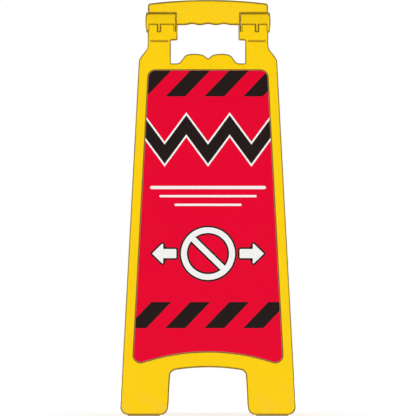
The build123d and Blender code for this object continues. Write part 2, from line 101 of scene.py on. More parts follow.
def size(name, millimetres, description):
    """Length property with its default in millimetres."""
    return FloatProperty(
        name=name,
        description=description,
        default=millimetres * MILLIMETRE,
        precision=5,
        unit="LENGTH",
    )


def count(name, number, description):
    """Number of things, one at least."""
    return IntProperty(name=name, description=description, default=number, min=1)


def fraction(name, part, description):
    """Share or brightness, from nought to one."""
    return FloatProperty(name=name, description=description, default=part, min=0, max=1)


def power(name, watts, description):
    """Power of a light."""
    return FloatProperty(name=name, description=description, default=watts, unit="POWER")


def colour(name, steps, description):
    """Colour property with its default in the 0 to 255 steps of a screen."""
    return FloatVectorProperty(
        name=name, description=description, default=linear(*steps), min=0, max=1, size=3, subtype="COLOR"
    )


# Sizes and colours that a user would change


class FinishColours(PropertyGroup):
    """Colours of the sign's plastics, print and rubber."""

    yellow: colour("Yellow", (253, 209, 0), "Moulded plastic of the leaves, caps and handle")
    red: colour("Red", (230, 0, 46), "Ground colour of the printed boards")
    board: colour("Board", (168, 164, 142), "Bare plastic at the rim of the boards")
    black: colour("Black", (28, 18, 16), "Dark printing ink")
    white: colour("White", (244, 244, 242), "Pale printing ink")
    # Painted shade: dark olive laid along the mouldings' rounded edges and in their gaps, standing in for
    # shade
    edge_and_gap_shade: colour("Grime", (118, 96, 34), "Dirt on the edges and in the gaps of the mouldings")
    rubber: colour("Rubber", (150, 137, 120), "Foot pads")
    dust: colour("Dust", (168, 158, 140), "Floor dust on the feet and pads")
    steel: colour("Steel", (178, 180, 184), "Hinge pins and screws")
    tape: colour("Tape", (222, 222, 216), "Foam tape behind the boards")


class PrintSizes(PropertyGroup):
    """Sizes of the printing on the boards, in the plane of a leaf."""

    film: size("Film", 0.06, "Thickness of one layer of printed film")
    trim: size("Trim", 0.2, "Bare rim between the edge of a board and its film")
    stripe_pitch: size("Stripe pitch", 59.1, "From one hazard stripe to the next, across the board")
    stripe_width: size("Stripe width", 30.0, "Width of a hazard stripe, across the board")
    stripe_shift: size("Stripe shift", -1.1, "Middle gap of the stripes, from the middle of the board")
    stripe_lean: FloatProperty(
        name="Stripe lean",
        description="Of the stripes, from upright",
        default=math.radians(43),
        subtype="ANGLE",
    )
    band_height: size("Band height", 40.5, "Height of a band of hazard stripes")
    band_spacing: size("Band spacing", 361.4, "From the middle of one band to the middle of the other")
    stripes: count("Stripes", 6, "Stripes laid in each band")
    ring_drop: size("Ring drop", 286.0, "Middle of the ring below the top edge of the board")
    ring_radius: size("Ring radius", 41.0, "Outer radius of the ring")
    ring_stroke: size("Ring stroke", 9.0, "Width of the ring and of its bar")
    ink_edge: size("Ink edge", 2.6, "Width of the edging printed round a mark")
    arrow_length: size("Arrow length", 37.0, "Length of each arrow beside the ring")
    arrow_gap: size("Arrow gap", 7.0, "Between the ring and an arrow's tail")
    arrow_head: size("Arrow head", 17.0, "Half width of an arrow's head")
    arrow_shaft: size("Arrow shaft", 7.14, "Half width of an arrow's shaft")
    corner: size("Corner", 1.2, "Rounding of the corners of printed marks")
    zigzag_drop: size("Zigzag drop", 108.0, "Middle of the zigzag below the top edge of the board")
    zigzag_rise: size("Zigzag rise", 46.0, "From the valleys to the peaks of the zigzag")
    zigzag_step: size("Zigzag step", 33.0, "From a valley to the next peak, across the board")
    zigzag_stroke: size("Zigzag stroke", 30.0, "Height of the zigzag's line, up the board")
    rule_drop: size("Rule drop", 183.0, "First ruled line below the top edge of the board")
    rule_pitch: size("Rule pitch", 13.5, "From one ruled line to the next")
    rule_height: size("Rule height", 5.0, "Thickness of the first ruled line")
    rule_length: size("Rule length", 176.0, "Length of the first ruled line")


class MouldingSizes(PropertyGroup):
    """Small moulded details of the leaves and pads."""

    mark_radius: size("Ejector mark radius", 4.0, "Round marks that ejector pins leave behind the panel")
    mark_height: size("Ejector mark height", 0.25, "How far the marks stand off the panel's back")
    mark_columns: count("Mark columns", 4, "Ejector marks across a leaf")
    mark_rows: count("Mark rows", 7, "Ejector marks down a leaf")
    mark_pitch_x: size("Mark pitch across", 56.0, "From one ejector mark to the next, across a leaf")
    mark_pitch_y: size("Mark pitch down", 62.9, "From one ejector mark to the next, down a leaf")
    mark_drop: size("Mark drop", 302.1, "Middle of the marks below the hinge")
    panel_level: size("Panel level", 1.5, "Back of the panel, in front of the middle of a leaf")
    tread_pitch: size("Tread pitch", 5.0, "From one groove of a sole to the next")
    tread_width: size("Tread width", 1.6, "Width of a groove in a sole")
    tread_depth: size("Tread depth", 0.7, "Depth of a groove in a sole")
    tread_rim: size("Tread rim", 1.6, "Plain rubber at both ends of the grooves")


class StageSizes(PropertyGroup):
    """Floor, camera and lights round the sign."""

    camera_distance: size("Camera distance", 20000, "From the lens to the middle of the sign")
    floor_radius: size("Floor radius", 4000, "Radius of the pale floor")
    floor_drop: size("Floor drop", 0.2, "Gap between the soles and the floor")
    fade_start: size("Fade start", 300, "From the middle of the floor to where its shading fades")
    fade_end: size("Fade end", 1200, "From the middle of the floor to where it is plain white")
    shadow: fraction("Shadow", 0.45, "Share of its shading that the floor shows")
    bare_floor: fraction("Bare floor", 0.63, "Brightness of the floor out of shadow, shown as white")
    sky: fraction("Sky", 0.14, "Brightness of the even light from all round")
    front: power("Front", 35.0, "Power of each front softbox")
    rear: power("Rear", 33.0, "Power of each rear softbox")
    top: power("Top", 40.0, "Power of the softbox overhead")
    box_side: size("Softbox side", 1400, "Front and rear softboxes, to the left and right of the sign")
    box_distance: size("Softbox distance", 2800, "Front and rear softboxes, before and behind the sign")
    box_height: size("Softbox height", 600, "Front and rear softboxes, above the floor")
    box_width: size("Softbox width", 1400, "Width of a front or rear softbox")
    top_height: size("Top height", 3200, "Overhead softbox, above the floor")
    top_width: size("Top width", 2400, "Width of the overhead softbox")


# Places on a leaf


def leaf_lean():
    """Angle of an opened leaf from the upright, which is how far it folds."""
    return math.radians(frame["joints"][0]["range_deg"][1])


def leaf_matrix(leaf):
    """From a leaf's plane to the frame: x across, y up the leaf, z out of its face, origin on the hinge."""
    joint = next(item for item in frame["joints"] if item["child"] == f"{leaf}_leaf")
    lean = leaf_lean()
    facing = math.copysign(1, joint["pos_m"][1])
    out = Vector((0, facing * math.cos(lean), math.sin(lean)))
    across = Vector((-facing, 0, 0))
    turn = Matrix((across, out.cross(across), out)).transposed().to_4x4()
    return Matrix.Translation(joint["pos_m"]) @ turn


def merged_copy(node):
    """Copy of a CAD node's mesh with its loose triangles joined."""
    cut = bmesh.new()
    cut.from_mesh(frame["nodes"][node].data)
    bmesh.ops.remove_doubles(cut, verts=cut.verts, dist=WELD)
    return cut


def board_face(leaf):
    """Printed face of a board: its outline in the leaf's plane, and its height there."""
    to_leaf = leaf_matrix(leaf).inverted()
    cut = merged_copy(f"{leaf}_sign_plate")
    bmesh.ops.transform(cut, matrix=to_leaf, verts=cut.verts)
    height = max(vert.co.z for vert in cut.verts)
    skin = {face for face in cut.faces if all(height - vert.co.z < FLATNESS for vert in face.verts)}
    rim = [edge for edge in cut.edges if sum(face in skin for face in edge.link_faces) == 1]
    first = rim[0].verts[0]
    outline, here, edge = [], first, rim[0]
    rim = set(rim)
    while not outline or here is not first:
        outline.append((here.co.x, here.co.y))
        here = edge.other_vert(here)
        edge = next(item for item in here.link_edges if item in rim and item is not edge)
    cut.free()
    return outline, height


# Flat outlines, as lists of points


def area(points):
    """Signed area of an outline, positive when it runs anticlockwise."""
    return sum(a[0] * b[1] - b[0] * a[1] for a, b in zip(points, points[1:] + points[:1])) / 2


def grown(points, distance):
    """Outline moved outwards by a distance, with sharp corners kept."""
    if area(points) < 0:
        points = points[::-1]
    moved = []
    for before, point, after in zip(points[-1:] + points[:-1], points, points[1:] + points[:1]):
        first = (Vector(point) - Vector(before)).normalized()
        second = (Vector(after) - Vector(point)).normalized()
        normals = Vector((first.y, -first.x)) + Vector((second.y, -second.x))
        moved.append(tuple(Vector(point) + normals * (2 * distance / normals.length_squared)))
    return moved


def rounded(points, radius, steps=4):
    """Outline with every corner turned into an arc."""
    smooth = []
    for before, point, after in zip(points[-1:] + points[:-1], points, points[1:] + points[:1]):
        corner = Vector(point)
        start = (Vector(before) - corner).normalized()
        end = (Vector(after) - corner).normalized()
        half_angle = start.angle(end) / 2
        centre = corner + (start + end).normalized() * (radius / math.sin(half_angle))
        first = corner + start * (radius / math.tan(half_angle)) - centre
        last = corner + end * (radius / math.tan(half_angle)) - centre
        for step in range(steps + 1):
            smooth.append(tuple(centre + radius * first.slerp(last, step / steps)))
    return smooth


def arc(centre, radius, start, end, steps):
    """Points along an arc, with its angles in radians."""
    turns = [start + (end - start) * step / steps for step in range(steps + 1)]
    return [(centre[0] + radius * math.cos(turn), centre[1] + radius * math.sin(turn)) for turn in turns]


def ring_with_bar(centre, radius, stroke, grow):
    """Ring crossed by a bar from upper left to lower right: its rim, and the two openings it leaves."""
    inner = radius - stroke - grow
    offset = stroke / 2 + grow
    spread = math.acos(offset / inner)
    loops = [arc(centre, radius + grow, 0, 2 * math.pi, CIRCLE_STEPS)[:-1]]
    for turn in (math.pi / 4, math.pi * 5 / 4):
        loops.append(arc(centre, inner, turn - spread, turn + spread, CIRCLE_STEPS // 2))
    return loops


def arrow(tail, tip, middle, head, shaft, grow, corner):
    """Arrow along x from its tail to its tip."""
    way = math.copysign(1, tip - tail)
    neck = tip - way * head
    points = [
        (tail, middle - shaft),
        (neck, middle - shaft),
        (neck, middle - head),
        (tip, middle),
        (neck, middle + head),
        (neck, middle + shaft),
        (tail, middle + shaft),
    ]
    if area(points) < 0:
        points.reverse()
    return rounded(grown(points, grow), corner)


def capsule(middle, length, height):
    """Bar with round ends."""
    half = (length - height) / 2
    right = arc((half, middle), height / 2, -math.pi / 2, math.pi / 2, END_STEPS)
    left = arc((-half, middle), height / 2, math.pi / 2, math.pi * 3 / 2, END_STEPS)
    return right + left


# Meshes


def finished_mesh(obj):
    """Plain mesh of an object as it is shown. The object is then removed."""
    bpy.context.scene.collection.objects.link(obj)
    shown = obj.evaluated_get(bpy.context.evaluated_depsgraph_get())
    mesh = bpy.data.meshes.new_from_object(shown)
    bpy.data.objects.remove(obj)
    return mesh


def prism(name, outline, low, high):
    """Closed slab with one outline, between two heights."""
    slab = bmesh.new()
    foot = [slab.verts.new((x, y, low)) for x, y in outline]
    top = [slab.verts.new((x, y, high)) for x, y in outline]
    slab.faces.new(foot)
    slab.faces.new(top)
    for index, vert in enumerate(foot):
        after = (index + 1) % len(foot)
        slab.faces.new((vert, foot[after], top[after], top[index]))
    bmesh.ops.recalc_face_normals(slab, faces=slab.faces)
    mesh = bpy.data.meshes.new(name)
    slab.to_mesh(mesh)
    slab.free()
    return mesh


def flat_mesh(name, shapes, low, high):
    """Closed slabs between two heights. Each shape is an outline followed by the openings in it."""
    curve = bpy.data.curves.new(name, "CURVE")
    curve.dimensions = "2D"
    curve.fill_mode = "BOTH"
    curve.extrude = (high - low) / 2
    for loop in [loop for shape in shapes for loop in shape]:
        spline = curve.splines.new("POLY")
        spline.points.add(len(loop) - 1)
        for point, (x, y) in zip(spline.points, loop):
            point.co = (x, y, 0, 1)
        spline.use_cyclic_u = True
    mesh = finished_mesh(bpy.data.objects.new(name, curve))
    slab = bmesh.new()
    slab.from_mesh(mesh)
    bmesh.ops.remove_doubles(slab, verts=slab.verts, dist=WELD)
    bmesh.ops.translate(slab, verts=slab.verts, vec=(0, 0, (low + high) / 2))
    bmesh.ops.recalc_face_normals(slab, faces=slab.faces)
    slab.to_mesh(mesh)
    slab.free()
    return mesh


def add_piece(name, mesh, body, place=None, material=None):
    """Put a finished mesh on a body of the sign."""
    if place is not None:
        mesh.transform(place)
    if material is not None:
        mesh.materials.clear()
        mesh.materials.append(material)
    obj = bpy.data.objects.new(name, mesh)
    bpy.context.scene.collection.objects.link(obj)
    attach(obj, body)
    return obj


# Node trees


def add_node(tree, kind, values=None, **settings):
    """New node with its settings. A value that is a socket is linked, any other is set on the input."""
    node = tree.nodes.new(kind)
    for name, setting in settings.items():
        setattr(node, name, setting)
    for name, value in (values or {}).items():
        if isinstance(value, bpy.types.NodeSocket):
            tree.links.new(value, node.inputs[name])
        else:
            node.inputs[name].default_value = value
    return node


def new_tree(name, inputs):
    """Geometry tree with named inputs: the tree, its input sockets by name and a function that ends it."""
    tree = bpy.data.node_groups.new(name, "GeometryNodeTree")
    tree.interface.new_socket("Geometry", in_out="INPUT", socket_type="NodeSocketGeometry")
    tree.interface.new_socket("Geometry", in_out="OUTPUT", socket_type="NodeSocketGeometry")
    for label, kind in {**inputs, "Material": "Material"}.items():
        tree.interface.new_socket(label, in_out="INPUT", socket_type=f"NodeSocket{kind}")
    source = add_node(tree, "NodeGroupInput").outputs

    def end(geometry):
        """Realize what was repeated, give it its material and hand it out."""
        real = add_node(tree, "GeometryNodeRealizeInstances", {"Geometry": geometry})
        inked = add_node(
            tree, "GeometryNodeSetMaterial", {"Geometry": real.outputs[0], "Material": source["Material"]}
        )
        add_node(tree, "NodeGroupOutput", {"Geometry": inked.outputs[0]})

    return tree, source, end


def run_tree(tree, mesh, values):
    """Plain mesh that a geometry tree makes from a mesh."""
    obj = bpy.data.objects.new(tree.name, mesh)
    modifier = obj.modifiers.new(tree.name, "NODES")
    modifier.node_group = tree
    for item in tree.interface.items_tree:
        if item.in_out == "INPUT" and item.name in values:
            modifier[item.identifier] = values[item.name]
    return finished_mesh(obj)


def combine(tree, x, y, z):
    """Vector from three numbers or sockets."""
    return add_node(tree, "ShaderNodeCombineXYZ", {"X": x, "Y": y, "Z": z}).outputs[0]


def calculate(tree, operation, first, second=0.0):
    """Result of one sum on numbers or sockets."""
    return add_node(tree, "ShaderNodeMath", {0: first, 1: second}, operation=operation).outputs[0]


def position(tree):
    """X, Y and Z of each point."""
    place = add_node(tree, "GeometryNodeInputPosition").outputs[0]
    return add_node(tree, "ShaderNodeSeparateXYZ", {0: place}).outputs


def shifted(tree, geometry, x, y, z):
    """Geometry moved by three numbers or sockets."""
    move = combine(tree, x, y, z)
    return add_node(tree, "GeometryNodeSetPosition", {"Geometry": geometry, "Offset": move}).outputs[0]


def repeated(tree, points, shape):
    """Real copies of a shape, one on every point."""
    laid = add_node(tree, "GeometryNodeInstanceOnPoints", {"Points": points, "Instance": shape})
    return add_node(tree, "GeometryNodeRealizeInstances", {"Geometry": laid.outputs[0]}).outputs[0]


def boolean(tree, operation, first, second):
    """Geometry cut by other geometry."""
    node = add_node(tree, "GeometryNodeMeshBoolean", operation=operation, solver="EXACT")
    if operation == "DIFFERENCE":
        tree.links.new(first, node.inputs["Mesh 1"])
    else:
        tree.links.new(first, node.inputs["Mesh 2"])
    tree.links.new(second, node.inputs["Mesh 2"])
    return node.outputs["Mesh"]


def stripes_tree():
    """Slanted stripes in two bands, trimmed to the film they are cut from."""
    tree, source, end = new_tree(
        "Hazard stripes",
        {
            "Pitch": "Float",
            "Width": "Float",
            "Height": "Float",
            "Shift": "Float",
            "Lean": "Float",
            "Spacing": "Float",
            "Middle": "Float",
            "Depth": "Float",
            "Count": "Int",
        },
    )
    box = add_node(
        tree,
        "GeometryNodeMeshCube",
        {"Size": combine(tree, source["Width"], source["Height"], source["Depth"])},
    )
    slant = calculate(tree, "MULTIPLY", position(tree)["Y"], calculate(tree, "TANGENT", source["Lean"]))
    stripe = shifted(tree, box.outputs["Mesh"], slant, 0, 0)
    span = calculate(tree, "MULTIPLY", source["Pitch"], calculate(tree, "SUBTRACT", source["Count"], 1))
    grid = add_node(
        tree,
        "GeometryNodeMeshGrid",
        {"Size X": span, "Size Y": source["Spacing"], "Vertices X": source["Count"], "Vertices Y": 2},
    )
    points = shifted(tree, grid.outputs["Mesh"], source["Shift"], source["Middle"], 0)
    end(boolean(tree, "INTERSECT", source["Geometry"], repeated(tree, points, stripe)))
    return tree


def zigzag_tree():
    """Zigzag line across a board, trimmed to the film it is cut from."""
    tree, source, end = new_tree(
        "Zigzag line",
        {
            "Step": "Float",
            "Rise": "Float",
            "Stroke": "Float",
            "Middle": "Float",
            "Depth": "Float",
            "Steps": "Int",
        },
    )
    span = calculate(tree, "MULTIPLY", source["Step"], source["Steps"])
    box = add_node(
        tree,
        "GeometryNodeMeshCube",
        {
            "Size": combine(tree, span, source["Stroke"], source["Depth"]),
            "Vertices X": calculate(tree, "ADD", source["Steps"], 1),
        },
    )
    wave = calculate(tree, "PINGPONG", position(tree)["X"], source["Step"])
    share = calculate(tree, "SUBTRACT", calculate(tree, "DIVIDE", wave, source["Step"]), 0.5)
    rise = calculate(tree, "ADD", calculate(tree, "MULTIPLY", share, source["Rise"]), source["Middle"])
    end(boolean(tree, "INTERSECT", source["Geometry"], shifted(tree, box.outputs["Mesh"], 0, rise, 0)))
    return tree


def marks_tree():
    """Round ejector marks in rows and columns."""
    tree, source, end = new_tree(
        "Ejector marks",
        {
            "Radius": "Float",
            "Height": "Float",
            "Pitch X": "Float",
            "Pitch Y": "Float",
            "Columns": "Int",
            "Rows": "Int",
            "Middle": "Float",
            "Level": "Float",
        },
    )
    disc = add_node(
        tree,
        "GeometryNodeMeshCylinder",
        {"Vertices": CIRCLE_STEPS // 3, "Radius": source["Radius"], "Depth": source["Height"]},
    )
    spans = {}
    for axis, lines in (("X", "Columns"), ("Y", "Rows")):
        gaps = calculate(tree, "SUBTRACT", source[lines], 1)
        spans[f"Size {axis}"] = calculate(tree, "MULTIPLY", source[f"Pitch {axis}"], gaps)
        spans[f"Vertices {axis}"] = source[lines]
    grid = add_node(tree, "GeometryNodeMeshGrid", spans)
    points = shifted(tree, grid.outputs["Mesh"], 0, source["Middle"], source["Level"])
    end(repeated(tree, points, disc.outputs["Mesh"]))
    return tree


def tread_tree():
    """Grooves cut across the sole of a pad."""
    tree, source, end = new_tree(
        "Sole grooves",
        {
            "Pitch": "Float",
            "Width": "Float",
            "Depth": "Float",
            "Reach": "Float",
            "Count": "Int",
            "X": "Float",
            "Y": "Float",
            "Floor": "Float",
        },
    )
    height = calculate(tree, "MULTIPLY", source["Depth"], 2)
    box = add_node(
        tree, "GeometryNodeMeshCube", {"Size": combine(tree, source["Width"], source["Reach"], height)}
    )
    span = calculate(tree, "MULTIPLY", source["Pitch"], calculate(tree, "SUBTRACT", source["Count"], 1))
    grid = add_node(
        tree,
        "GeometryNodeMeshGrid",
        {"Size X": span, "Size Y": 0.0, "Vertices X": source["Count"], "Vertices Y": 2},
    )
    line = add_node(tree, "GeometryNodeMergeByDistance", {"Geometry": grid.outputs["Mesh"]})
    points = shifted(tree, line.outputs[0], source["X"], source["Y"], source["Floor"])
    end(boolean(tree, "DIFFERENCE", source["Geometry"], repeated(tree, points, box.outputs["Mesh"])))
    return tree


# Materials


def new_material(name):
    """Material with its tree, its surface shader and the place of each point on the sign."""
    material = bpy.data.materials.new(name)
    material.use_nodes = True
    tree = material.node_tree
    surface = tree.nodes["Principled BSDF"]
    place = add_node(tree, "ShaderNodeTexCoord").outputs["Object"]
    return material, tree, surface, place


def noise(tree, place, scale, detail=2.0, stretch=None):
    """Cloudy pattern, with its scale in cells to the metre."""
    if stretch is not None:
        place = add_node(tree, "ShaderNodeMapping", {"Vector": place, "Scale": stretch}).outputs[0]
    values = {"Vector": place, "Scale": scale, "Detail": detail}
    return add_node(tree, "ShaderNodeTexNoise", values).outputs["Fac"]


def ranged(tree, value, low, high, to_low, to_high):
    """Value spread from one range to another, and held inside it."""
    values = {"Value": value, "From Min": low, "From Max": high, "To Min": to_low, "To Max": to_high}
    return add_node(tree, "ShaderNodeMapRange", values).outputs["Result"]


def mixed(tree, share, first, second):
    """Colour between two colours or colour sockets."""
    values = {"Factor": share, 6: first, 7: second}
    return add_node(tree, "ShaderNodeMix", values, data_type="RGBA").outputs[2]


def shade(colour_value, factor):
    """Colour made lighter or darker, with its alpha."""
    return tuple(min(1.0, part * factor) for part in colour_value) + (1.0,)


def roughened(tree, surface, pattern, low, high):
    """Roughness that drifts between two values with a noise pattern."""
    tree.links.new(ranged(tree, pattern, *NOISE_SPREAD, low, high), surface.inputs["Roughness"])


def bumped(tree, surface, height, depth, strength):
    """Relief on a surface, with its depth in millimetres."""
    values = {"Height": height, "Distance": depth * MILLIMETRE, "Strength": strength}
    tree.links.new(add_node(tree, "ShaderNodeBump", values).outputs[0], surface.inputs["Normal"])


def corners(tree, reach, most):
    """How deep in a corner or a gap each point is, from nought to most, with the reach in millimetres. It
    masks painted shade.
    """
    values = {"Distance": reach * MILLIMETRE}
    open_sky = add_node(tree, "ShaderNodeAmbientOcclusion", values, samples=8).outputs["AO"]
    return ranged(tree, open_sky, 0.45, 0.95, most, 0.0)


def averaged_normal(tree, reach):
    """Normal of a surface averaged over a reach in millimetres, as its x, y and z in the frame at rest."""
    turned = add_node(tree, "ShaderNodeBevel", {"Radius": reach * MILLIMETRE}, samples=8).outputs[0]
    spaces = {"vector_type": "NORMAL", "convert_from": "WORLD", "convert_to": "OBJECT"}
    turned = add_node(tree, "ShaderNodeVectorTransform", {0: turned}, **spaces).outputs[0]
    return add_node(tree, "ShaderNodeSeparateXYZ", {0: turned}).outputs


def face_level(tree, turned, place, lean):
    """How squarely a surface faces out of a moulding that leans: one on its face, nought on its sides."""
    facing = calculate(tree, "SIGN", add_node(tree, "ShaderNodeSeparateXYZ", {0: place}).outputs["Y"])
    outward = calculate(tree, "MULTIPLY", calculate(tree, "MULTIPLY", turned["Y"], facing), math.cos(lean))
    return calculate(tree, "ADD", outward, calculate(tree, "MULTIPLY", turned["Z"], math.sin(lean)))


def painted_edge_shade(tree, place, lean):
    """Painted shade along the rounded edges between a moulding's face and its sides, broken up by noise,
    wider on edges that look up.
    """
    turned = averaged_normal(tree, EDGE_REACH)
    level = face_level(tree, turned, place, lean)
    upward_widening = ranged(tree, turned["Z"], 0.28, 0.7, 0.0, 0.4)
    clear_of_side = ranged(tree, level, 0.02, 0.3, 0.0, 1.0)
    clear_of_face = ranged(tree, calculate(tree, "SUBTRACT", level, upward_widening), 0.86, 0.985, 1.0, 0.0)
    band = calculate(tree, "MULTIPLY", clear_of_side, clear_of_face)
    # noise that breaks up the painted edge shade
    patchiness = ranged(tree, noise(tree, place, 60, 5), 0.35, 0.6, 0.8, 1.0)
    return calculate(tree, "MULTIPLY", band, patchiness)


def yellow_plastic(name, colours, lean):
    """Satin moulded plastic: slight drift of colour, spark grain, painted shade on its edges and in its
    gaps, and dusty feet.
    """
    material, tree, surface, place = new_material(name)
    drift = noise(tree, place, 11, 4)
    tint = mixed(tree, drift, shade(colours.yellow, 0.965), shade(colours.yellow, 1))
    # Painted shade: dark olive mixed in along the rounded edges and in the gaps, where shade falls
    gaps = corners(tree, GAP_REACH, 1.0)
    shade_inputs = {"Factor": gaps, "A": painted_edge_shade(tree, place, lean), "B": GAP_SHADE}
    shade_share = add_node(tree, "ShaderNodeMix", shade_inputs, data_type="FLOAT").outputs["Result"]
    tint = mixed(tree, shade_share, tint, shade(colours.edge_and_gap_shade, 1))
    height = add_node(tree, "ShaderNodeSeparateXYZ", {0: place}).outputs["Z"]
    low = ranged(tree, height, 0.0, DUST_HEIGHT, 1.0, 0.0)
    patches = ranged(tree, noise(tree, place, 55, 6), 0.48, 0.72, 0.0, 0.12)
    tint = mixed(tree, calculate(tree, "MULTIPLY", low, patches), tint, shade(colours.dust, 1))
    tree.links.new(tint, surface.inputs["Base Color"])
    roughened(tree, surface, noise(tree, place, 70, 5), 0.4, 0.5)
    surface.inputs["Specular IOR Level"].default_value = 0.12
    bumped(tree, surface, noise(tree, place, 1500, 2), 0.05, 0.6)
    return material


def red_board(colours, lean):
    """Satin board, printed on its face: even ink with a faint mottle, a bare grey rim, and painted shade in
    the gap round it.
    """
    material, tree, surface, place = new_material("red_printed_board")
    mottle = noise(tree, place, 420, 3)
    tint = mixed(tree, mottle, shade(colours.red, 0.96), shade(colours.red, 1.03))
    level = face_level(tree, averaged_normal(tree, RIM_REACH), place, lean)
    rim = ranged(tree, level, 0.97, 0.998, 1.0, 0.0)
    tint = mixed(tree, rim, tint, shade(colours.board, 1))
    # Painted shade: darker board colour in the gap between the board and its recess, where shade falls
    gap = corners(tree, BOARD_GAP_REACH, 0.6)
    tint = mixed(tree, gap, tint, shade(colours.board, 0.6))
    tree.links.new(tint, surface.inputs["Base Color"])
    roughened(tree, surface, noise(tree, place, 38, 6), 0.36, 0.46)
    surface.inputs["Specular IOR Level"].default_value = 0.06
    bumped(tree, surface, noise(tree, place, 600, 2), 0.02, 0.5)
    return material


def ink(name, colour_value):
    """Printed film: even ink with a faint mottle."""
    material, tree, surface, place = new_material(name)
    mottle = noise(tree, place, 500, 3)
    tint = mixed(tree, mottle, shade(colour_value, 0.95), shade(colour_value, 1.02))
    tree.links.new(tint, surface.inputs["Base Color"])
    roughened(tree, surface, noise(tree, place, 45, 5), 0.38, 0.48)
    surface.inputs["Specular IOR Level"].default_value = 0.06
    bumped(tree, surface, noise(tree, place, 700, 2), 0.015, 0.5)
    return material


def pad_rubber(colours):
    """Matt rubber with a fine grain and dust in its hollows."""
    material, tree, surface, place = new_material("foot_pad_rubber")
    dusty = ranged(tree, noise(tree, place, 180, 6), 0.5, 0.8, 0.0, 0.5)
    tint = mixed(tree, dusty, shade(colours.rubber, 1), shade(colours.dust, 0.8))
    tree.links.new(tint, surface.inputs["Base Color"])
    roughened(tree, surface, noise(tree, place, 300, 3), 0.75, 0.95)
    surface.inputs["Specular IOR Level"].default_value = 0.25
    bumped(tree, surface, noise(tree, place, 1200, 4), 0.12, 0.8)
    return material


def turned_steel(name, colours, stretch):
    """Steel with fine lines along or round it."""
    material, tree, surface, place = new_material(name)
    lines = noise(tree, place, 900, 3, stretch)
    tint = mixed(tree, lines, shade(colours.steel, 0.85), shade(colours.steel, 1.05))
    tree.links.new(tint, surface.inputs["Base Color"])
    surface.inputs["Metallic"].default_value = 1.0
    roughened(tree, surface, lines, 0.24, 0.4)
    bumped(tree, surface, lines, 0.01, 0.4)
    return material


def foam_tape(colours):
    """Pale open foam."""
    material, tree, surface, place = new_material("white_foam_tape")
    cells = noise(tree, place, 1400, 3)
    tint = mixed(tree, cells, shade(colours.tape, 0.85), shade(colours.tape, 1))
    tree.links.new(tint, surface.inputs["Base Color"])
    surface.inputs["Roughness"].default_value = 0.9
    bumped(tree, surface, cells, 0.1, 0.7)
    return material


def seen_directly(tree):
    """One for what the camera sees, mirrored or through glass too, and nought for what lights the sign."""
    ray = add_node(tree, "ShaderNodeLightPath").outputs
    seen = calculate(tree, "MAXIMUM", ray["Is Camera Ray"], ray["Is Glossy Ray"])
    return calculate(tree, "MAXIMUM", seen, ray["Is Transmission Ray"])


def finish(material, *nodes):
    """Give CAD nodes a material."""
    for node in nodes:
        frame["nodes"][node].data.materials[0] = material


# Operators


class STANDSIGN_OT_mouldings(Operator):
    """Finish the leaves, hinge caps and handle in yellow plastic"""

    bl_idname = "stand_sign.mouldings"
    bl_label = "Yellow mouldings"

    def execute(self, context):
        colours = context.scene.sign_colours
        caps = [f"{leaf}_{side}_hinge_cap" for leaf in LEAVES for side in SIDES]
        upright = yellow_plastic("yellow_handle_plastic", colours, 0.0)
        finish(upright, "handle_front_shell", "handle_rear_shell", *caps)
        finish(yellow_plastic("yellow_leaf_plastic", colours, leaf_lean()), "front_frame", "rear_frame")
        return {"FINISHED"}


class STANDSIGN_OT_metalwork(Operator):
    """Finish the hinge pins and the handle screws in steel"""

    bl_idname = "stand_sign.metalwork"
    bl_label = "Pins and screws"

    def execute(self, context):
        colours = context.scene.sign_colours
        pins = [f"{leaf}_{side}_hinge_pin" for leaf in LEAVES for side in SIDES]
        finish(turned_steel("ground_pin_steel", colours, (0.2, 1, 1)), *pins)
        finish(turned_steel("plated_screw_steel", colours, (1, 0.3, 1)), "handle_screws")
        return {"FINISHED"}


class STANDSIGN_OT_boards(Operator):
    """Finish the red boards and the tape behind them"""

    bl_idname = "stand_sign.boards"
    bl_label = "Sign boards"

    def execute(self, context):
        colours = context.scene.sign_colours
        finish(red_board(colours, leaf_lean()), "front_sign_plate", "rear_sign_plate")
        finish(foam_tape(colours), "front_plate_tape", "rear_plate_tape")
        return {"FINISHED"}


class STANDSIGN_OT_hazard_stripes(Operator):
    """Lay two bands of slanted black stripes on each board"""

    bl_idname = "stand_sign.hazard_stripes"
    bl_label = "Hazard stripes"

    def execute(self, context):
        sizes = context.scene.sign_print
        black = ink("black_ink_stripes", context.scene.sign_colours.black)
        tree = stripes_tree()
        for leaf in LEAVES:
            outline, face = board_face(leaf)
            top = max(y for x, y in outline)
            film = prism("stripe_film", grown(outline, -sizes.trim), face, face + sizes.film)
            stripes = run_tree(
                tree,
                film,
                {
                    "Pitch": sizes.stripe_pitch,
                    "Width": sizes.stripe_width,
                    "Height": sizes.band_height,
                    "Shift": sizes.stripe_shift,
                    "Lean": sizes.stripe_lean,
                    "Spacing": sizes.band_spacing,
                    "Middle": top - (sizes.band_height + sizes.band_spacing) / 2,
                    "Depth": CUTTER_SHARE * face,
                    "Count": sizes.stripes,
                    "Material": black,
                },
            )
            add_piece(f"{leaf}_hazard_stripes", stripes, f"{leaf}_leaf", place=leaf_matrix(leaf))
        return {"FINISHED"}


